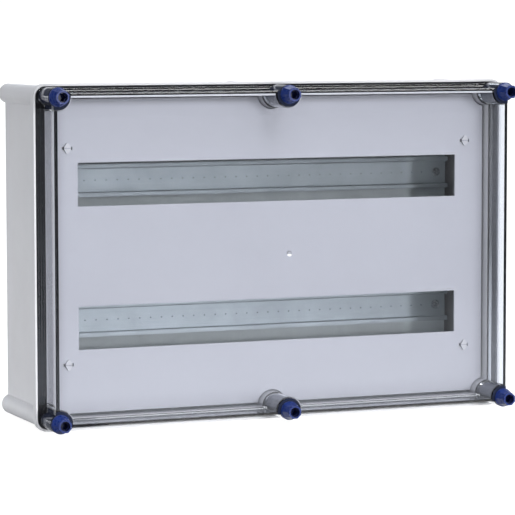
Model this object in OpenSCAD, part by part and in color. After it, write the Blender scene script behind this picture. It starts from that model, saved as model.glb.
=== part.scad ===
// Wall-mount enclosure for modular devices in two rows.
// A moulded base with round screw posts, a clear cover on captive quarter-turn screws,
// an inner plate with a window for each row, and a top-hat rail behind each window.
// Millimetres. The origin is the middle of the back face, the front faces -Y, +Z is up.

/* [Base] */
// Overall width across the rim of the base
box_w = 540; // [530:1:560]
// Overall height across the rim of the base
box_h = 360; // [352:1:380]
// Depth of the base from its back face to the rim
base_d = 130; // [126:1:150]
// Thickness of the side walls
wall_t = 3.5; // [3:0.5:4]
// Thickness of the back wall
back_t = 4; // [3.5:0.5:5]
// Outside radius of the round posts that take the cover screws
post_r = 10.6; // [9.8:0.1:10.8]
// Corner radius of the rim
rim_r = 13; // [12:0.5:14]

/* [Cover] */
// Height of the clear cover in front of the rim
cover_h = 39; // [34:1:45]
// Thickness of the clear plastic
clear_t = 3; // [2.5:0.5:3.5]
// Thickness of the cover's left and right walls, which are a little stronger
side_t = 3.5; // [3:0.5:5]
// Radius of the rounded front edges of the cover
edge_r = 2.8; // [1.6:0.2:2.8]
// Radius of the pocket that each screw head sits in
pocket_r = 13.2; // [12.8:0.1:13.6]
// Depth of that pocket
pocket_d = 4; // [3:0.5:5]

/* [Screws] */
// Length of a cover screw's head
head_l = 15.6; // [14.4:0.2:18]
// Radius of the head at its skirt
head_r = 10; // [9.6:0.1:10.6]
// Radius of the head at its front ring
nose_r = 7.3; // [6.8:0.1:7.6]
// Radius of the round mouth of the drive socket
socket_r = 5.2; // [5:0.1:5.4]
// Width across the flats of the drive socket
drive_af = 8; // [7.5:0.5:8.5]

/* [Inner plate] */
// Width of each window
window_w = 437; // [420:1:440]
// Height of each window
window_h = 45.6; // [45:0.1:47]
// Distance between the two rows
row_pitch = 150; // [145:1:152]
// Thickness of the inner plate
plate_t = 2.5; // [2:0.5:3]
// How far the plate's front lies behind the rim
plate_back = 10; // [9:0.5:12]
// Distance of the plate studs from the middle, along X
stud_x = 230; // [227:1:231]
// Distance of the plate studs from the middle, along Z
stud_z = 113; // [110:1:116]

/* [Rails] */
// Distance from the plate's front to the front of the rails
plate_to_rail = 64; // [60:1:68]
// Length of the rails
rail_l = 484; // [478:1:486]
// Height of the rail's hat, shallow or deep
rail_h = 7.5; // [7.5:7.5:15]
// Thickness of the rail's steel
rail_t = 1; // [1:0.1:1.2]

/* [Hidden] */
$fn = 64;

// screw axes: corners and the middle of the long sides
ax = box_w / 2 - 15;
az = box_h / 2 - 12.6;
AXES = [for (z = [1, -1]) for (x = [-1, 0, 1]) [x * ax, z * az]];

// base
wx = box_w / 2 - 11.5;      // outside of the side walls
wz = box_h / 2 - 9;
ix = wx - wall_t;           // inside of the walls
iz = wz - wall_t;
open_x = box_w / 2 - 15.6;  // opening at the rim, where the walls are a little thicker
open_z = box_h / 2 - 13.2;
lip_w = 2;                  // width of the lip around the cover's flange
lip_h = 3;
flange_t = 6.5;             // thickness of the rim
y_rim = -base_d;            // plane of the rim
bulge_r = 13;               // inside of the walls around the posts
bulge_rim_r = 15.5;         // the same, close behind the rim
bulge_rim_d = 14;
seal_in = 1.3;              // from the opening to the seal
seal_out = 2.5;             // from the seal's groove to the outside of the rim
seal_d = 4;
seal_hole_r = 5.9;          // hole in the seal around each screw
wall_hole_x = 205;          // wall fixing holes
wall_hole_z = 140;
wall_hole_r = 3.25;

// cover
y_fb = y_rim - 1;           // back of the cover's flange
y_front = y_rim - cover_h;  // front of the cover
cx = box_w / 2 - 11;        // outside of the raised part
cz = az + cx - ax;
fl_x = box_w / 2 - lip_w - 0.4;   // outside of the flange
fl_z = box_h / 2 - lip_w - 0.4;
col_r = 9.8;                // screw columns, outside and inside of the raised part
col_in_r = 14.6;
col_t = 1.4;                // wall of the screw columns
bore_r = 4.1;
y_pocket = y_front + pocket_d;
y_well = y_fb - 4.5;        // bottom of the well in each column

// screws
shank_r = 4;
tip_bore_r = 4.4;
seal_t = 3.1;               // thickness of the seal under the head
y_head = y_pocket - seal_t - 0.3;   // back of the head
y_nose = y_head - head_l;   // front of the head

// plate, rails and what carries them
y_plate = y_rim + plate_back;       // front of the plate
y_plate_b = y_plate + plate_t;
stud_r = 3;
stud_slot = 5.7;                    // half width of the slot in the plate behind each stud
rail_z = row_pitch / 2;
y_rail = y_plate + plate_to_rail;   // front of the rail's lips
y_seat = y_rail + rail_h;           // back of the rail's web, on the mounting plate
mp_x = 242;                         // half size of the mounting plate behind the rails
mp_z = 150;
mp_t = 2;
fix_z = 136;
boss_y = y_seat + mp_t;             // front of the bosses under the mounting plate
pillar_r = 5.5;
pillar_gap = 0.3;
rail_w = 35;                        // width over the rail's lips
bend_r = 1.4;                       // outside radius of the bend between a lip and the hat

module slab(yb, yf) { translate([0, yb, 0]) rotate([90, 0, 0]) linear_extrude(height = yb - yf) children(); }
module rod(p, yb, yf, r) { translate([p[0], yb, p[1]]) rotate([90, 0, 0]) cylinder(r = r, h = yb - yf); }
module taper(p, yb, yf, rb, rf) { translate([p[0], yb, p[1]]) rotate([90, 0, 0]) cylinder(r1 = rb, r2 = rf, h = yb - yf); }
module rect(hx, hz) { square([2 * hx, 2 * hz], center = true); }
module rrect(hx, hz, r) {
  rect(hx, hz - r);
  rect(hx - r, hz);
  for (sx = [-1, 1]) for (sz = [-1, 1]) translate([sx * (hx - r), sz * (hz - r)]) circle(r);
}
module at_axes(r) { for (p = AXES) translate(p) circle(r); }

// outline inside the walls, with the posts left standing
module hollow(hx, hz, r) { difference() { rect(hx, hz); at_axes(r); } }
module outside() { rect(wx, wz); at_axes(post_r); }
// flat seal under the cover's flange, with a disc around each screw; g is the gap around it
// and i is how far it stays back from the opening
module seal_shape(g, i) {
  difference() {
    rrect(box_w / 2 - seal_out - g, box_h / 2 - seal_out - g, rim_r - seal_out - g);
    at_axes(seal_hole_r + g);
    hollow(open_x + i, open_z + i, bulge_rim_r - i);
  }
}

FIX_SCREWS = [for (x = [-1, 1]) for (z = [-1, 1]) [x * stud_x, z * fix_z]];
STUDS = [for (x = [-1, 1]) for (z = [-1, 1]) [x * stud_x, z * stud_z]];
RAIL_SCREWS = [for (x = [-1, 1]) for (z = [-1, 1]) [x * stud_x, z * rail_z]];
WALL_HOLES = [for (x = [-1, 1]) for (z = [-1, 1]) [x * wall_hole_x, z * wall_hole_z]];

module base_box() {
  color([0.78, 0.79, 0.81]) difference() {
    union() {
      slab(0, -back_t) outside();
      slab(-back_t, y_rim + bulge_rim_d) difference() { outside(); hollow(ix, iz, bulge_r); }
      slab(y_rim + bulge_rim_d, y_rim + flange_t) difference() { outside(); hollow(open_x, open_z, bulge_rim_r); }
      slab(y_rim + flange_t, y_rim) difference() { rrect(box_w / 2, box_h / 2, rim_r); hollow(open_x, open_z, bulge_rim_r); }
      slab(y_rim, y_rim - lip_h) difference() {
        rrect(box_w / 2, box_h / 2, rim_r);
        rrect(box_w / 2 - lip_w, box_h / 2 - lip_w, rim_r - lip_w);
      }
      // bosses under the mounting plate, and raised rings around the wall holes
      for (p = FIX_SCREWS) taper(p, -back_t, boss_y, 8.5, 7.5);
      for (p = WALL_HOLES) rod(p, -back_t, -back_t - 5, 9);
      // stiffening ribs across the inside of the back wall
      for (z = [-48, 0, 48]) translate([-195, -back_t - 4, z - 1]) cube([390, 4, 2]);
    }
    slab(y_rim + seal_d, y_rim) seal_shape(0, seal_in - 0.1);
    for (p = AXES) {
      rod(p, y_rim + 45, y_rim, tip_bore_r);
      rod(p, 0, -76, 6.6);
    }
    for (p = FIX_SCREWS) rod(p, boss_y + 22, boss_y, 2.1);
    for (p = WALL_HOLES) rod(p, 0, -back_t - 5, wall_hole_r);
    // shallow panels in the back face
    for (s = [-1, 1]) translate([s * 105 - 80, -1.2, -125]) cube([160, 1.2, 250]);
  }
}

module rim_gasket() {
  color([0.1, 0.1, 0.11]) slab(y_rim + seal_d, y_rim - 0.6) seal_shape(0.1, seal_in);
}

// section of the cover: a flange of half width f that rises in three bevelled steps,
// and the raised part of half width h with rounded front edges
step_h = 1.1;
step_w = 2.55;
function flange_side(f, s) = concat([[s * f, y_fb], [s * f, y_fb - 1.2]],
  [for (i = [0:2]) each [[s * (f - 1.5 - step_w * i), y_fb - 1.2 - step_h * i],
    [s * (f - 1.5 - step_w * i - step_h), y_fb - 1.2 - step_h * (i + 1)]]]);
module lid_section(h, f) {
  l = flange_side(f, -1);
  polygon(concat(flange_side(f, 1), [for (i = [len(l) - 1:-1:0]) l[i]]));
  translate([-h, y_front + edge_r]) square([2 * h, cover_h - 1 - edge_r]);
  translate([-h + edge_r, y_front]) square([2 * (h - edge_r), cover_h - 1]);
  for (s = [-1, 1]) translate([s * (h - edge_r), y_front + edge_r]) circle(edge_r);
}

module lid_block() {
  intersection() {
    translate([0, 0, -fl_z]) linear_extrude(height = 2 * fl_z) lid_section(cx, fl_x);
    translate([-fl_x, 0, 0]) rotate([90, 0, 90]) linear_extrude(height = 2 * fl_x)
      mirror([1, -1, 0]) lid_section(cz, fl_z);
    slab(y_fb, y_front) rrect(fl_x, fl_z, rim_r - lip_w - 0.4);
  }
}

// section of the wells in the screw columns; g is the gap around the seal in it
module well_shape(g) {
  at_axes(col_r - col_t - g);
  intersection() {
    at_axes(pocket_r - g);
    rect(cx - col_t - g, az - 0.8 - g);
  }
}

module clear_cover() {
  color([0.82, 0.85, 0.9, 0.45]) difference() {
    union() {
      lid_block();
      for (p = AXES) rod(p, y_fb, y_pocket, col_r);
    }
    difference() {
      slab(y_fb, y_front + clear_t) rect(cx - side_t, cz - clear_t);
      for (p = AXES) rod(p, y_fb, y_front + clear_t, col_in_r);
    }
    for (p = AXES) {
      rod(p, y_fb, y_pocket, bore_r);
      rod(p, y_pocket, y_front - 1, pocket_r);
      taper(p, y_front + 1, y_front - 0.5, pocket_r, pocket_r + 1.5);
    }
    slab(y_well, y_pocket - 1) well_shape(0);
    // moulding mark in the middle of the front: a round dimple
    translate([0, y_front - 2.55, 0]) sphere(r = 4.1);
  }
}

// seals under the screw heads: they fill the pocket and the well, and end with the column outside it
module screw_seals() {
  color([0.05, 0.05, 0.06]) {
    slab(y_pocket - 0.1, y_pocket - 0.1 - seal_t) difference() {
      union() {
        at_axes(col_r - 0.2);
        intersection() {
          at_axes(pocket_r - 0.3);
          rect(cx - 0.3, cz - 0.3);
        }
      }
      at_axes(4.5);
    }
    slab(y_well - 0.1, y_pocket - 1) difference() { well_shape(0.3); at_axes(4.5); }
  }
}

skirt_l = 1.6;
nose_l = 2.6;
cone_l = head_l - skirt_l - nose_l;
cone_a = atan((head_r - nose_r) / cone_l);

module cover_screw(p) {
  color([0.13, 0.18, 0.45]) translate([p[0], 0, p[1]]) difference() {
    union() {
      rod([0, 0], y_head, y_head - skirt_l, head_r);
      // tapered head with eight flats
      difference() {
        taper([0, 0], y_head - skirt_l, y_nose + nose_l, head_r, nose_r);
        for (a = [0:45:315]) rotate([0, a + 22.5, 0]) translate([0, y_head - skirt_l, head_r - 0.7])
          rotate([cone_a, 0, 0]) translate([-7, -cone_l - 4, 0]) cube([14, cone_l + 6, 8]);
      }
      translate([0, y_nose + nose_l, 0]) rotate([90, 22.5, 0]) cylinder(r = nose_r, h = nose_l, $fn = 8);
      rod([0, 0], y_rim + 34, y_head, shank_r);
      taper([0, 0], y_rim + 38, y_rim + 34, 2.4, shank_r);
    }
    rod([0, 0], y_nose + 4, y_nose - 1, socket_r);
    translate([0, y_nose + 12, 0]) rotate([90, 0, 0]) cylinder(r = drive_af / sqrt(3), h = 8, $fn = 6);
  }
}

module inner_plate() {
  color([0.8, 0.81, 0.84]) slab(y_plate_b, y_plate) difference() {
    rect(box_w / 2 - 18, box_h / 2 - 16);
    at_axes(bulge_rim_r + 1.3);
    for (s = [-1, 1]) translate([0, s * rail_z]) rect(window_w / 2, window_h / 2);
    for (p = STUDS) translate(p) { circle(stud_r + 0.1); rect(stud_slot, 1.7); }
  }
}

module plate_stud(p) {
  color([0.93, 0.94, 0.95]) translate([p[0], 0, p[1]]) difference() {
    union() {
      slab(y_plate - 0.2, y_plate - 2) polygon([[1.2, 5.3], [3.6, 1.2], [3.6, -1.2], [1.2, -5.3],
        [-1.2, -5.3], [-3.6, -1.2], [-3.6, 1.2], [-1.2, 5.3]]);
      rod([0, 0], y_plate_b + 9, y_plate - 0.2, stud_r);
      taper([0, 0], y_plate_b + 11, y_plate_b + 9, 1.8, stud_r);
    }
    translate([-6, y_plate - 2.6, -0.45]) cube([12, 1.6, 0.9]);
  }
}

module rail_section() {
  h = rail_w / 2;
  b = 13.5;
  for (m = [0, 1]) mirror([0, m]) {
    translate([y_rail, b - rail_t + bend_r]) square([rail_t, h - b + rail_t - bend_r]);
    translate([y_rail + bend_r, b - rail_t]) square([rail_h - bend_r, rail_t]);
    translate([y_rail + bend_r, b - rail_t + bend_r]) intersection() {
      difference() { circle(bend_r); circle(bend_r - rail_t); }
      translate([-bend_r, -bend_r]) square(bend_r);
    }
  }
  translate([y_seat - rail_t, -b]) square([rail_t, 2 * b]);
}

module rail(z) {
  color([0.66, 0.7, 0.73]) difference() {
    translate([-rail_l / 2, 0, z]) rotate([90, 0, 90]) linear_extrude(height = rail_l) rail_section();
    for (s = [-1, 1]) rod([s * stud_x, z], y_seat, y_seat - rail_t, 2.75);
  }
}

module rail_screws() {
  color([0.8, 0.82, 0.84]) for (p = RAIL_SCREWS) difference() {
    union() {
      rod(p, y_seat - rail_t, y_seat - rail_t - 1.8, 4.7);
      taper(p, y_seat - rail_t - 1.8, y_seat - rail_t - 2.8, 4.7, 3.6);
      rod(p, y_seat + 8, y_seat - rail_t, 2.4);
    }
    translate([p[0] - 3.2, y_seat - rail_t - 2.8, p[1] - 0.55]) cube([6.4, 1.4, 1.1]);
    translate([p[0] - 0.55, y_seat - rail_t - 2.8, p[1] - 3.2]) cube([1.1, 1.4, 6.4]);
  }
}

module mounting_plate() {
  color([0.72, 0.75, 0.77]) slab(y_seat + mp_t, y_seat) difference() {
    rrect(mp_x, mp_z, 5);
    for (p = FIX_SCREWS) translate(p) circle(2.75);
    for (p = RAIL_SCREWS) translate(p) circle(2.45);
    for (p = STUDS) translate(p) circle(2.2);
  }
}

module mounting_screws() {
  color([0.8, 0.82, 0.84]) for (p = FIX_SCREWS) difference() {
    union() {
      rod(p, y_seat, y_seat - 1.8, 4.7);
      taper(p, y_seat - 1.8, y_seat - 2.8, 4.7, 3.6);
      rod(p, boss_y + 14, y_seat, 2);
    }
    translate([p[0] - 3.2, y_seat - 2.8, p[1] - 0.55]) cube([6.4, 1.4, 1.1]);
    translate([p[0] - 0.55, y_seat - 2.8, p[1] - 3.2]) cube([1.1, 1.4, 6.4]);
  }
}

module plate_pillars() {
  color([0.74, 0.75, 0.77]) for (p = STUDS) difference() {
    union() {
      rod(p, y_seat, y_seat - 6, pillar_r + 1);
      taper(p, y_seat - 6, y_plate_b + pillar_gap, pillar_r + 0.6, pillar_r);
    }
    rod(p, y_plate_b + 14, y_plate_b + pillar_gap, stud_r + 0.4);
    rod(p, y_seat, y_seat - 14, 1.9);
  }
}

module pillar_screws() {
  color([0.8, 0.82, 0.84]) for (p = STUDS) {
    rod(p, y_seat + mp_t + 2.4, y_seat + mp_t, 3.6);
    rod(p, y_seat + mp_t, y_seat - 10, 1.85);
  }
}

base_box();
rim_gasket();
clear_cover();
screw_seals();
cover_screw(AXES[0]);  // cover_screw_top_left
cover_screw(AXES[1]);  // cover_screw_top_mid
cover_screw(AXES[2]);  // cover_screw_top_right
cover_screw(AXES[3]);  // cover_screw_bottom_left
cover_screw(AXES[4]);  // cover_screw_bottom_mid
cover_screw(AXES[5]);  // cover_screw_bottom_right
inner_plate();
plate_stud([-stud_x, stud_z]);  // plate_stud_top_left
plate_stud([stud_x, stud_z]);  // plate_stud_top_right
plate_stud([-stud_x, -stud_z]);  // plate_stud_bottom_left
plate_stud([stud_x, -stud_z]);  // plate_stud_bottom_right
rail(rail_z);  // rail_upper
rail(-rail_z);  // rail_lower
rail_screws();
mounting_plate();
mounting_screws();
plate_pillars();
pillar_screws();
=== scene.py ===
import math
import bpy
import bmesh
from mathutils import Matrix, Vector


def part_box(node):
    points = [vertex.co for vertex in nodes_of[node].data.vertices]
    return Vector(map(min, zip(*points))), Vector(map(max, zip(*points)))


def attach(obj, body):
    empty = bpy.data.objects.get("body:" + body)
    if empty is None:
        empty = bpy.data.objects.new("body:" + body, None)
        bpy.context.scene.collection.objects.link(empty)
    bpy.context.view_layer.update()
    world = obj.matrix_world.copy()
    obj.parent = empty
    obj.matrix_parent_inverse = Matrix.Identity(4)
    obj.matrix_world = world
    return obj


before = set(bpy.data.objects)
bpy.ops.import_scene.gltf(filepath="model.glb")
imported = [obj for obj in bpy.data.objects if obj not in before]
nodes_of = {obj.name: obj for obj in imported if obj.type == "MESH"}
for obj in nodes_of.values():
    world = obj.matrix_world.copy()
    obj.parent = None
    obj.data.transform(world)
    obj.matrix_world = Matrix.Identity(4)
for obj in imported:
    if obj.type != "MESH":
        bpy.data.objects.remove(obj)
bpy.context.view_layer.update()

scene = bpy.context.scene

# ---------------------------------------------------------------- camera
YAW, PITCH, ROLL = 0.39505275, 0.08684721, -0.00140277
fwd = Vector((math.sin(YAW) * math.cos(PITCH), math.cos(YAW) * math.cos(PITCH), -math.sin(PITCH)))
right = Vector((math.cos(YAW), -math.sin(YAW), 0.0))
up = right.cross(fwd)
right2 = math.cos(ROLL) * right + math.sin(ROLL) * up
up2 = -math.sin(ROLL) * right + math.cos(ROLL) * up
cam_data = bpy.data.cameras.new("camera")
cam_data.sensor_width = 36.0
cam_data.lens = 2688.186 / 515.0 * 36.0
cam_data.clip_start = 0.1
cam_data.clip_end = 200.0
cam = bpy.data.objects.new("camera", cam_data)
scene.collection.objects.link(cam)
cam.matrix_world = Matrix((
    (right2.x, up2.x, -fwd.x, -1.118369),
    (right2.y, up2.y, -fwd.y, -2.763258),
    (right2.z, up2.z, -fwd.z, 0.241492),
    (0.0, 0.0, 0.0, 1.0)))
scene.camera = cam

# ---------------------------------------------------------------- node helpers


class Mat:
    """A material with a Principled shader, and short ways to add nodes."""

    def __init__(self, name):
        self.m = bpy.data.materials.new(name)
        self.m.use_nodes = True
        self.t = self.m.node_tree
        self.p = next(n for n in self.t.nodes if n.type == "BSDF_PRINCIPLED")

    def set(self, **kw):
        for k, v in kw.items():
            name = k.replace("_", " ").title().replace("Ior", "IOR")
            sock = self.p.inputs[name]
            if isinstance(v, (tuple, list)) and len(v) == 3 and sock.type == "RGBA":
                v = (*v, 1.0)
            sock.default_value = v
        return self

    def node(self, kind, **kw):
        n = self.t.nodes.new(kind)
        for k, v in kw.items():
            if k.startswith("i_"):
                n.inputs[k[2:].replace("_", " ")].default_value = v
            else:
                setattr(n, k, v)
        return n

    def link(self, a, b):
        self.t.links.new(a, b)

    def coords(self, scale=(1, 1, 1), loc=(0, 0, 0)):
        tc = self.node("ShaderNodeTexCoord")
        mp = self.node("ShaderNodeMapping")
        mp.inputs["Scale"].default_value = scale
        mp.inputs["Location"].default_value = loc
        self.link(tc.outputs["Object"], mp.inputs["Vector"])
        return mp.outputs["Vector"]

    def noise(self, vec, scale, detail=3.0, rough=0.5, distortion=0.0):
        n = self.node("ShaderNodeTexNoise")
        n.inputs["Scale"].default_value = scale
        n.inputs["Detail"].default_value = detail
        n.inputs["Roughness"].default_value = rough
        n.inputs["Distortion"].default_value = distortion
        self.link(vec, n.inputs["Vector"])
        return n.outputs["Fac"]

    def ramp(self, fac, stops):
        r = self.node("ShaderNodeValToRGB")
        els = r.color_ramp.elements
        while len(els) < len(stops):
            els.new(0.5)
        for e, (pos, col) in zip(els, stops):
            e.position = pos
            e.color = (*col, 1.0) if len(col) == 3 else col
        self.link(fac, r.inputs["Fac"])
        return r.outputs["Color"]

    def span(self, fac, a, b, lo, hi):
        r = self.node("ShaderNodeMapRange")
        r.inputs["From Min"].default_value = a
        r.inputs["From Max"].default_value = b
        r.inputs["To Min"].default_value = lo
        r.inputs["To Max"].default_value = hi
        self.link(fac, r.inputs["Value"])
        return r.outputs["Result"]

    def soft(self, fac, a, b, lo, hi):
        """Like span, with soft ends."""
        r = self.node("ShaderNodeMapRange", interpolation_type="SMOOTHSTEP")
        for k, v in (("From Min", a), ("From Max", b), ("To Min", lo), ("To Max", hi)):
            r.inputs[k].default_value = v
        self.link(fac, r.inputs["Value"])
        return r.outputs["Result"]

    def xyz(self, vec):
        sp = self.node("ShaderNodeSeparateXYZ")
        self.link(vec, sp.inputs[0])
        return sp.outputs["X"], sp.outputs["Y"], sp.outputs["Z"]

    def times(self, *facs):
        out = facs[0]
        for f in facs[1:]:
            out = self.math("MULTIPLY", out, f)
        return out

    def math(self, op, a, b=None):
        n = self.node("ShaderNodeMath", operation=op)
        for i, v in enumerate((a, b)):
            if v is None:
                continue
            if isinstance(v, (int, float)):
                n.inputs[i].default_value = v
            else:
                self.link(v, n.inputs[i])
        return n.outputs[0]

    def mix(self, fac, a, b, mode="MIX"):
        n = self.node("ShaderNodeMix", data_type="RGBA", blend_type=mode)
        for sock, v in ((n.inputs[0], fac), (n.inputs[6], a), (n.inputs[7], b)):
            if isinstance(v, (int, float)):
                sock.default_value = v
            elif isinstance(v, (tuple, list)):
                sock.default_value = (*v, 1.0)
            else:
                self.link(v, sock)
        return n.outputs[2]

    def color(self, out):
        self.link(out, self.p.inputs["Base Color"])

    def rough(self, out):
        self.link(out, self.p.inputs["Roughness"])

    def bump(self, height, strength, distance):
        b = self.node("ShaderNodeBump")
        b.inputs["Strength"].default_value = strength
        b.inputs["Distance"].default_value = distance
        self.link(height, b.inputs["Height"])
        self.link(b.outputs["Normal"], self.p.inputs["Normal"])


def srgb(r, g, b):
    f = lambda c: c / 12.92 if c <= 0.04045 else ((c + 0.055) / 1.055) ** 2.4
    return tuple(f(v / 255.0) for v in (r, g, b))


def tint(c, k):
    return tuple(min(1.0, v * k) for v in c)


# ---------------------------------------------------------------- materials
def moulded(name, base, rough_lo, rough_hi, grain, strength, blotch=0.03):
    """Moulded plastic: soft blotches in colour, fine spark-eroded grain in the bump and the gloss."""
    m = Mat(name)
    v = m.coords()
    big = m.noise(v, 9.0, 3.0, 0.55)
    fine = m.noise(v, grain, 3.0, 0.6)
    m.color(m.ramp(big, [(0.3, tint(base, 1 - blotch)), (0.7, tint(base, 1 + blotch))]))
    m.rough(m.span(m.noise(v, 60.0, 4.0, 0.6), 0.3, 0.7, rough_lo, rough_hi))
    m.bump(fine, strength, 0.0002)
    return m


def base_plastic():
    """Light grey; painted shade darkens the land round the post bulges, the narrow land inside the seal and the sill
    inside the opening.
    """
    m = moulded("base_grey", (0.500, 0.505, 0.528), 0.42, 0.52, 1400.0, 0.25)
    tone = m.p.inputs["Base Color"].links[0].from_socket
    x, y, z = m.xyz(m.coords())
    ax, az = m.math("ABSOLUTE", x), m.math("ABSOLUTE", z)
    land = m.times(m.math("LESS_THAN", y, -0.1297), m.math("LESS_THAN", ax, 0.2557), m.math("LESS_THAN", az, 0.1681))
    side = m.times(land, m.math("LESS_THAN", az, 0.1667))
    foot = m.times(land, m.math("LESS_THAN", z, -0.1667))
    sill = m.times(m.math("LESS_THAN", y, -0.105), m.math("GREATER_THAN", y, -0.1297), m.math("LESS_THAN", az, 0.1672),
                   m.math("LESS_THAN", z, -0.1640), m.math("LESS_THAN", ax, 0.2550))
    bulge = m.times(m.math("LESS_THAN", y, -0.105), m.math("GREATER_THAN", y, -0.1297), m.math("LESS_THAN", az, 0.1665),
                    m.math("LESS_THAN", ax, 0.2541))
    # painted shade: the land round the post bulges is greyed, the land beside the seal is darkest at the left and right
    # and greyer along the bottom, and the sill inside the opening is darkened
    tone = m.mix(bulge, tone, (0.34, 0.34, 0.37))
    tone = m.mix(side, tone, (0.025, 0.025, 0.028))
    tone = m.mix(foot, tone, (0.26, 0.26, 0.28))
    tone = m.mix(sill, tone, (0.20, 0.20, 0.22))
    m.color(tone)
    return m.m


def plate_plastic():
    """Light grey, with painted shade that greys it along the outer edges, most at the top."""
    m = moulded("plate_grey", (0.304, 0.307, 0.346), 0.50, 0.58, 1800.0, 0.15, 0.015)
    tone = m.p.inputs["Base Color"].links[0].from_socket
    x, y, z = m.xyz(m.coords())
    shade = m.times(m.soft(x, -0.246, -0.230, 0.70, 1.0), m.soft(x, 0.240, 0.254, 1.0, 0.78),
                    m.soft(z, 0.1535, 0.1655, 1.0, 0.62), m.soft(z, -0.166, -0.146, 0.86, 1.0))
    m.color(m.mix(1.0, tone, m.ramp(shade, [(0.0, (0.0, 0.0, 0.0)), (1.0, (1.0, 1.0, 1.0))]), "MULTIPLY"))
    return m.m


mat_base = base_plastic()
mat_plate = plate_plastic()
mat_pillar = moulded("pillar_grey", (0.45, 0.46, 0.48), 0.4, 0.5, 1500.0, 0.2).m


def stud_plastic():
    """White plastic; painted shade darkens the bottom of the screwdriver slot, found by its place in the stud."""
    m = Mat("stud_white")
    v = m.coords()
    base = (0.364, 0.364, 0.395)
    tone = m.ramp(m.noise(v, 90.0, 3.0, 0.55), [(0.3, tint(base, 0.98)), (0.7, tint(base, 1.02))])
    sp = m.node("ShaderNodeSeparateXYZ")
    m.link(v, sp.inputs[0])
    dz = m.math("ABSOLUTE", m.math("SUBTRACT", m.math("ABSOLUTE", sp.outputs["Z"]), 0.113))
    slot = m.math("MULTIPLY", m.math("LESS_THAN", dz, 0.00062), m.math("GREATER_THAN", sp.outputs["Y"], -0.1216))
    m.color(m.mix(slot, tone, (0.25, 0.25, 0.29)))
    m.rough(m.span(m.noise(v, 300.0, 3.0, 0.6), 0.3, 0.7, 0.4, 0.5))
    m.bump(m.noise(v, 2000.0, 3.0, 0.6), 0.1, 0.0002)
    return m.m


mat_stud = stud_plastic()


def rubber(name, base):
    m = Mat(name)
    m.p.inputs["Specular IOR Level"].default_value = 0.06
    v = m.coords()
    m.color(m.ramp(m.noise(v, 40.0, 4.0, 0.6), [(0.3, tint(base, 0.8)), (0.7, tint(base, 1.25))]))
    m.rough(m.span(m.noise(v, 220.0, 3.0, 0.6), 0.3, 0.7, 0.5, 0.68))
    m.bump(m.noise(v, 900.0, 3.0, 0.6), 0.3, 0.0002)
    return m.m


mat_gasket = rubber("seal_rubber", (0.005, 0.005, 0.006))
mat_washer = rubber("washer_rubber", (0.012, 0.016, 0.034))


def clear_plastic():
    m = Mat("clear_plastic")
    m.set(base_color=(0.930, 0.952, 0.985), ior=1.50, transmission_weight=1.0)
    v = m.coords()
    smudge = m.noise(v, 14.0, 4.0, 0.6)
    m.rough(m.span(smudge, 0.35, 0.75, 0.012, 0.035))
    return m.m


mat_clear = clear_plastic()


def blue_plastic():
    m = Mat("screw_blue")
    m.p.inputs["Specular IOR Level"].default_value = 0.3
    v = m.coords()
    big = m.noise(v, 120.0, 3.0, 0.55)
    blue = m.ramp(big, [(0.3, (0.0080, 0.0200, 0.112)), (0.7, (0.0110, 0.0262, 0.134))])
    # painted shade: the inside of the drive socket is darker, found by the radius from the nearest screw axis
    sep = m.node("ShaderNodeSeparateXYZ")
    m.link(v, sep.inputs[0])
    x = m.node("ShaderNodeMath", operation="WRAP")
    m.link(sep.outputs["X"], x.inputs[0])
    x.inputs[1].default_value = 0.1275
    x.inputs[2].default_value = -0.1275
    z = m.math("SUBTRACT", m.math("ABSOLUTE", sep.outputs["Z"]), 0.1674)
    r = m.math("SQRT", m.math("ADD", m.math("MULTIPLY", x.outputs[0], x.outputs[0]), m.math("MULTIPLY", z, z)))
    inside = m.math("LESS_THAN", r, 0.00522)
    m.color(m.mix(inside, blue, (0.004, 0.007, 0.040)))
    m.rough(m.span(m.noise(v, 300.0, 3.0, 0.6), 0.3, 0.7, 0.24, 0.34))
    m.bump(m.noise(v, 1500.0, 3.0, 0.6), 0.15, 0.0002)
    return m.m


mat_blue = blue_plastic()


def zinc(name, base, along, rough_lo, rough_hi, metal=1.0, painted_shade_falloff=False, painted_light_end=None):
    """Zinc-plated steel: rolling streaks along one axis, and a cloudy passivated film. Optionally painted shade makes
    the rails darker towards the right, the upper one more than the lower, and a painted light lifts the shaded right
    end.
    """
    m = Mat(name)
    m.set(metallic=metal)
    v = m.coords()
    stretch = [90.0, 90.0, 90.0]
    stretch[along] = 2.0
    sv = m.coords(scale=tuple(stretch))
    streak = m.noise(sv, 8.0, 4.0, 0.65)
    cloud = m.noise(v, 26.0, 4.0, 0.6, 0.4)
    c1 = m.ramp(cloud, [(0.3, tint(base, 0.90)), (0.7, tint(base, 1.08))])
    c2 = m.ramp(streak, [(0.25, (0.86, 0.87, 0.88)), (0.75, (1.0, 1.0, 1.0))])
    c3 = m.mix(1.0, c1, c2, "MULTIPLY")
    if painted_shade_falloff:
        # painted light and shade: the lower rail is lighter than the upper, and both darken towards the right
        x, y, z = m.xyz(v)
        upper = m.math("GREATER_THAN", z, 0.0)
        k = m.math("ADD", m.times(upper, m.soft(x, -0.20, 0.24, 0.76, 0.50)),
                   m.times(m.math("SUBTRACT", 1.0, upper), m.soft(x, -0.20, 0.24, 0.98, 0.78)))
        c3 = m.mix(1.0, c3, m.ramp(k, [(0.0, (0.0, 0.0, 0.0)), (1.0, (1.25, 1.25, 1.25))]), "MULTIPLY")
    if painted_light_end:
        # painted light: the shaded right end is lifted towards a lighter colour
        x, y, z = m.xyz(v)
        c3 = m.mix(m.soft(x, 0.180, 0.222, 0.0, 1.0), c3, painted_light_end)
    m.color(c3)
    m.rough(m.span(streak, 0.3, 0.7, rough_lo, rough_hi))
    m.bump(streak, 0.12, 0.0002)
    return m.m


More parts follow.
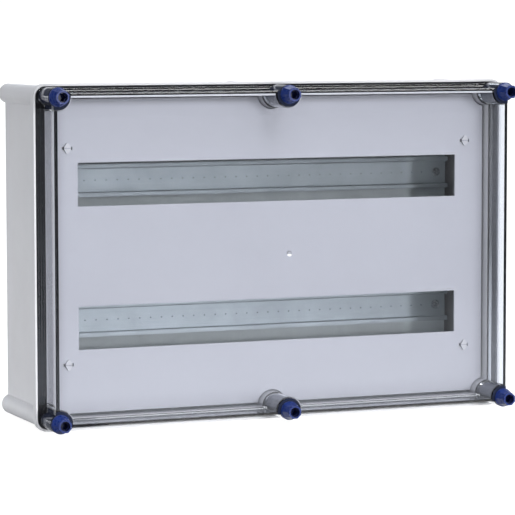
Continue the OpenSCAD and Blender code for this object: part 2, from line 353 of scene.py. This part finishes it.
# the rails carry painted shade towards the right and a painted light at the right end; the mounting plate carries a
# painted light at its right end
mat_rail = zinc("zinc_rail", (0.364, 0.399, 0.43), 0, 0.55, 0.65, 0.6, True, (0.42, 0.47, 0.50))
mat_mount = zinc("zinc_plate", (0.343, 0.367, 0.375), 2, 0.60, 0.70, 0.5, False, (0.60, 0.66, 0.68))
mat_screw = zinc("zinc_screw", (0.68, 0.70, 0.71), 1, 0.22, 0.34)

LOOK = {
    "base_box": mat_base, "rim_gasket": mat_gasket, "clear_cover": mat_clear, "screw_seals": mat_washer,
    "inner_plate": mat_plate, "rail_upper": mat_rail, "rail_lower": mat_rail, "rail_screws": mat_screw,
    "mounting_plate": mat_mount, "mounting_screws": mat_screw,
    "plate_pillars": mat_pillar, "pillar_screws": mat_screw,
}
for name, obj in nodes_of.items():
    if name.startswith("cover_screw_"):
        LOOK[name] = mat_blue
    if name.startswith("plate_stud_"):
        LOOK[name] = mat_stud
    obj.data.materials.clear()
    obj.data.materials.append(LOOK[name])

# the clear cover lets light into the box
cover = nodes_of["clear_cover"]
cover.visible_shadow = False
cover.visible_diffuse = False

# ---------------------------------------------------------------- small dents in a row along each rail
def dent_row(name, z, y, x0, x1, pitch, r):
    """Shallow round dents in the rail's web, each a dished disc with a low rim."""
    bm = bmesh.new()
    n = int(math.floor((x1 - x0) / pitch + 0.5))
    seg = 12
    for i in range(n + 1):
        cx = x0 + i * pitch
        rings = []
        for rr, dy in ((r * 1.35, 0.0), (r * 1.05, 0.00006), (r * 0.7, 0.00003), (r * 0.3, 0.00001)):
            rings.append([bm.verts.new((cx + rr * math.cos(2 * math.pi * k / seg), y - dy, z + rr * math.sin(2 * math.pi * k / seg))) for k in range(seg)])
        for a, b in zip(rings, rings[1:]):
            for k in range(seg):
                bm.faces.new((a[k], a[(k + 1) % seg], b[(k + 1) % seg], b[k]))
        bm.faces.new(rings[-1])
    bmesh.ops.recalc_face_normals(bm, faces=bm.faces)
    me = bpy.data.meshes.new(name)
    bm.to_mesh(me)
    bm.free()
    for f in me.polygons:
        f.use_smooth = True
    ob = bpy.data.objects.new(name, me)
    scene.collection.objects.link(ob)
    return ob


dent = Mat("rail_dent")
dent.set(metallic=1.0)
dv = dent.coords()
dent.color(dent.ramp(dent.noise(dv, 500.0, 2.0), [(0.3, (0.10, 0.115, 0.125)), (0.7, (0.16, 0.18, 0.19))]))
dent.rough(dent.span(dent.noise(dv, 800.0, 2.0), 0.3, 0.7, 0.4, 0.6))
for label, node in (("upper", "rail_upper"), ("lower", "rail_lower")):
    lo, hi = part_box(node)
    zc = 0.5 * (lo[2] + hi[2])
    web = hi[1] - 0.001
    row = dent_row("rail_dents_" + label, zc, web - 0.00002, -0.2125, 0.2125, 0.0125, 0.0006)
    row.data.materials.append(dent.m)
    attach(row, "base")

# ---------------------------------------------------------------- frosted gate mark in the cover's dimple
def gate_mark(name, y_front, set_out, r_out, r_in):
    """A thin frosted dish that lines the round dimple in the middle of the cover's front."""
    bm = bmesh.new()
    seg, steps = 32, 8
    yc = y_front - set_out

    def ring(r, t):
        return [bm.verts.new((r * math.sin(t) * math.cos(2 * math.pi * k / seg), yc + r * math.cos(t),
                              r * math.sin(t) * math.sin(2 * math.pi * k / seg))) for k in range(seg)]

    top = math.acos((set_out + 0.00005) / r_out)
    rings = [ring(r_out, top * i / steps) for i in range(1, steps + 1)]
    rings += [ring(r_in, top * i / steps) for i in range(steps, 0, -1)]
    for a, b in zip(rings, rings[1:]):
        for k in range(seg):
            bm.faces.new((a[k], a[(k + 1) % seg], b[(k + 1) % seg], b[k]))
    bm.faces.new(rings[0])
    bm.faces.new(rings[-1])
    bmesh.ops.recalc_face_normals(bm, faces=bm.faces)
    me = bpy.data.meshes.new(name)
    bm.to_mesh(me)
    bm.free()
    for f in me.polygons:
        f.use_smooth = True
    ob = bpy.data.objects.new(name, me)
    scene.collection.objects.link(ob)
    return ob


frost = Mat("gate_frost")
gv = frost.coords()
gx, gy, gz = frost.xyz(gv)
flat = frost.ramp(frost.noise(gv, 700.0, 2.0), [(0.3, (0.28, 0.29, 0.33)), (0.7, (0.31, 0.32, 0.36))])
# painted shade darkens the upper left of the dish and a painted highlight makes its lower part near white
lean = frost.math("SUBTRACT", frost.math("MULTIPLY", gz, 0.55), gx)
painted_shade_tone = frost.mix(frost.soft(lean, 0.0008, 0.0026, 0.0, 0.8), flat, (0.06, 0.06, 0.07))
frost.color(frost.mix(frost.soft(gz, -0.0022, -0.0008, 1.0, 0.0), painted_shade_tone, (0.90, 0.90, 0.93)))
frost.rough(frost.span(frost.noise(gv, 1200.0, 2.0), 0.3, 0.7, 0.22, 0.34))
frost.bump(frost.noise(gv, 2500.0, 2.0), 0.1, 0.0001)
mark = gate_mark("gate_mark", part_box("clear_cover")[0][1], 0.00255, 0.00405, 0.0039)
mark.data.materials.append(frost.m)
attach(mark, "cover")

# ---------------------------------------------------------------- fillets in the cover's top inner corner, coloured light as a painted highlight
def fillet(name, x0, x1, y0, z0, r):
    """A concave fillet that fills the corner at (y0, z0), from x0 to x1."""
    bm = bmesh.new()
    sect = [(y0, z0), (y0, z0 - r)]
    sect += [(y0 + r - r * math.cos(t), z0 - r + r * math.sin(t)) for t in (math.pi / 2 * i / 6 for i in range(1, 6))]
    sect += [(y0 + r, z0)]
    n = len(sect)
    rows = [[bm.verts.new((x0 + (x1 - x0) * i / 12, y, z)) for y, z in sect] for i in range(13)]
    for a, b in zip(rows, rows[1:]):
        for k in range(n):
            bm.faces.new((a[k], a[(k + 1) % n], b[(k + 1) % n], b[k]))
    bm.faces.new(rows[0])
    bm.faces.new(rows[-1])
    bmesh.ops.recalc_face_normals(bm, faces=bm.faces)
    me = bpy.data.meshes.new(name)
    bm.to_mesh(me)
    bm.free()
    ob = bpy.data.objects.new(name, me)
    scene.collection.objects.link(ob)
    return ob


# the fillets' light grey is a painted highlight standing in for the bright line along the cover's top front edge
fillet_highlight_paint = Mat("cover_fillet_painted_highlight")
sv = fillet_highlight_paint.coords()
fillet_highlight_paint.color(fillet_highlight_paint.ramp(fillet_highlight_paint.noise(sv, 60.0, 3.0), [(0.3, (0.34, 0.345, 0.38)), (0.7, (0.38, 0.385, 0.42))]))
fillet_highlight_paint.rough(fillet_highlight_paint.span(fillet_highlight_paint.noise(sv, 500.0, 2.0), 0.3, 0.7, 0.25, 0.4))
fillet_highlight_paint.bump(fillet_highlight_paint.noise(sv, 1500.0, 2.0), 0.08, 0.0001)
for label, sign in (("left", -1.0), ("right", 1.0)):
    f = fillet("corner_fillet_" + label, *sorted((sign * 0.0152, sign * 0.2400)), -0.16595, 0.16835, 0.00195)
    f.data.materials.append(fillet_highlight_paint.m)
    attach(f, "cover")

# ---------------------------------------------------------------- floor, world and lights
low = min(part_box(n)[0][2] for n in nodes_of)


def sheet(name, corners):
    """One flat stage panel from its four corners."""
    bm = bmesh.new()
    bm.faces.new([bm.verts.new(c) for c in corners])
    me = bpy.data.meshes.new(name)
    bm.to_mesh(me)
    bm.free()
    ob = bpy.data.objects.new(name, me)
    scene.collection.objects.link(ob)
    return ob


S = 30.0
zf = low - 0.0004


def floor_sheet(name, z, glow, albedo):
    ob = sheet(name, [(-S, -S, z), (S, -S, z), (S, S, z), (-S, S, z)])
    m = Mat(name)
    m.set(roughness=0.7, emission_color=(1.0, 1.0, 1.0), emission_strength=glow)
    m.color(m.ramp(m.noise(m.coords(), 1.5, 2.0), [(0.3, (albedo,) * 3), (0.7, (albedo + 0.02,) * 3)]))
    ob.data.materials.append(m.m)
    return ob


# the white floor that is seen, and under it the dimmer one that lights the object from below
floor = floor_sheet("floor_white", zf, 0.94, 0.12)
floor.visible_diffuse = False
bounce = floor_sheet("floor_bounce", zf - 0.001, 0.26, 0.20)
bounce.visible_camera = False
bounce.visible_glossy = False
bounce.visible_transmission = False

# dim drapes in front and on the left, seen only in reflections and through the clear plastic;
# the front one is lighter close to the object
def drape(name, corners, near, far):
    m = Mat(name)
    m.set(base_color=(0.0, 0.0, 0.0), roughness=1.0, emission_color=(0.93, 0.98, 1.07))
    sp = m.node("ShaderNodeSeparateXYZ")
    m.link(m.coords(), sp.inputs[0])
    r = m.node("ShaderNodeMapRange", interpolation_type="SMOOTHSTEP")
    for k, v in (("From Min", -1.5), ("From Max", -0.25), ("To Min", far), ("To Max", near)):
        r.inputs[k].default_value = v
    m.link(sp.outputs["Y"], r.inputs["Value"])
    m.link(r.outputs["Result"], m.p.inputs["Emission Strength"])
    ob = sheet(name, corners)
    ob.data.materials.append(m.m)
    ob.visible_camera = False
    ob.visible_diffuse = False
    ob.visible_shadow = False
    return ob


zd = zf + 0.0002
drape("drape_floor", [(-9.0, -9.0, zd), (9.0, -9.0, zd), (9.0, -0.22, zd), (-9.0, -0.22, zd)], 0.80, 0.08)
drape("drape_wall", [(-9.0, -9.0, zf), (9.0, -9.0, zf), (9.0, -9.0, 5.0), (-9.0, -9.0, 5.0)], 0.08, 0.08)
left_floor = drape("drape_left_floor", [(-9.0, -0.22, zd), (-0.30, -0.22, zd), (-0.30, 9.0, zd), (-9.0, 9.0, zd)], 0.05, 0.05)
left_floor.visible_transmission = False
drape("drape_left_foot", [(-0.30, -0.22, zd), (-0.20, -0.22, zd), (-0.20, 0.05, zd), (-0.30, 0.05, zd)], 0.16, 0.16)
drape("drape_right_floor", [(0.62, -0.22, zd), (9.0, -0.22, zd), (9.0, 7.0, zd), (0.62, 0.25, zd)], 0.05, 0.05)
drape("drape_right_wall", [(9.0, -9.0, zf), (9.0, 7.0, zf), (9.0, 7.0, 5.0), (9.0, -9.0, 5.0)], 0.05, 0.05)
drape("drape_left_wall", [(-9.0, -9.0, zf), (-9.0, 9.0, zf), (-9.0, 9.0, 14.0), (-9.0, -9.0, 14.0)], 0.05, 0.05)



def toward(azimuth, elevation, dist):
    """Point at azimuth degrees to the right of straight back and elevation degrees up."""
    a, e = math.radians(azimuth), math.radians(elevation)
    return (dist * math.sin(a) * math.cos(e), dist * math.cos(a) * math.cos(e), dist * math.sin(e))


drape("panel_back_top", [toward(8, 27, 7.0), toward(46, 27, 7.0), toward(46, 44, 7.0), toward(8, 44, 7.0)], 3.9, 3.9)
drape("drape_back_left", [toward(-50, 3, 8.0), toward(6, 3, 8.0), toward(6, 58, 8.0), toward(-50, 58, 8.0)], 0.08, 0.08)

world = bpy.data.worlds.new("studio")
scene.world = world
world.use_nodes = True
wt = world.node_tree
bg = next(n for n in wt.nodes if n.type == "BACKGROUND")
tc = wt.nodes.new("ShaderNodeTexCoord")
sep = wt.nodes.new("ShaderNodeSeparateXYZ")
wt.links.new(tc.outputs["Generated"], sep.inputs[0])


def world_span(src, lo, hi, a, b):
    n = wt.nodes.new("ShaderNodeMapRange")
    n.interpolation_type = "SMOOTHSTEP"
    for k, v in (("From Min", lo), ("From Max", hi), ("To Min", a), ("To Max", b)):
        n.inputs[k].default_value = v
    wt.links.new(src, n.inputs["Value"])
    return n.outputs["Result"]


back = world_span(sep.outputs["Y"], -0.3, 0.6, 0.0, 1.0)
low_down = world_span(sep.outputs["Z"], 0.03, 0.09, 1.0, 0.0)
mul = wt.nodes.new("ShaderNodeMath")
mul.operation = "MULTIPLY"
wt.links.new(back, mul.inputs[0])
wt.links.new(low_down, mul.inputs[1])
horizon = world_span(mul.outputs[0], 0.0, 1.0, 0.30, 1.05)
overhead = world_span(sep.outputs["Z"], 0.55, 0.80, 0.0, 0.8)
level = wt.nodes.new("ShaderNodeMath")
level.operation = "ADD"
wt.links.new(horizon, level.inputs[0])
wt.links.new(overhead, level.inputs[1])
wt.links.new(level.outputs[0], bg.inputs["Strength"])
bg.inputs["Color"].default_value = (0.97, 0.99, 1.03, 1.0)


def sun(name, azimuth, elevation, strength, angle, shine=True):
    """Light from azimuth degrees to the right of the front and elevation degrees above the horizon."""
    a, e = math.radians(azimuth), math.radians(elevation)
    d = Vector((math.sin(a) * math.cos(e), -math.cos(a) * math.cos(e), math.sin(e)))
    ld = bpy.data.lights.new(name, "SUN")
    ld.energy = strength
    ld.angle = math.radians(angle)
    ob = bpy.data.objects.new(name, ld)
    ob.rotation_euler = d.to_track_quat("Z", "Y").to_euler()
    ob.visible_glossy = shine
    ob.visible_transmission = shine
    scene.collection.objects.link(ob)
    return ob


def panel(name, at, aim, wide, high, power):
    """Soft area lamp that lights the object but isn't seen in it."""
    ld = bpy.data.lights.new(name, "AREA")
    ld.shape = "RECTANGLE"
    ld.size = wide
    ld.size_y = high
    ld.energy = power
    ob = bpy.data.objects.new(name, ld)
    ob.location = at
    ob.rotation_euler = (Vector(at) - Vector(aim)).to_track_quat("Z", "Y").to_euler()
    ob.visible_camera = False
    ob.visible_glossy = False
    ob.visible_transmission = False
    scene.collection.objects.link(ob)
    return ob


sun("key_right", 16.0, 6.0, 0.9, 7.0)
sun("top_strip", 77.0, 66.6, 1.6, 40.0)
sun("front_top", 0.0, 40.0, 1.15, 24.0, False)
sun("front_right", 50.0, 15.0, 0.7, 40.0, False)
sun("front_left", -50.0, 15.0, 0.4, 40.0)
panel("front_low", (0.05, -1.0, -0.08), (0.05, 0.0, -0.05), 1.0, 0.18, 4.4)
panel("left_low", (-0.81, 0.0, -0.13), (-0.2, 0.0, -0.13), 0.5, 0.08, 1.8)

scene.view_settings.view_transform = "Standard"
scene.view_settings.look = "None"
scene.view_settings.exposure = 0.0
scene.cycles.use_denoising = True
scene.cycles.max_bounces = 14
scene.cycles.transmission_bounces = 12
scene.cycles.glossy_bounces = 6
scene.cycles.diffuse_bounces = 4
scene.cycles.sample_clamp_indirect = 6.0
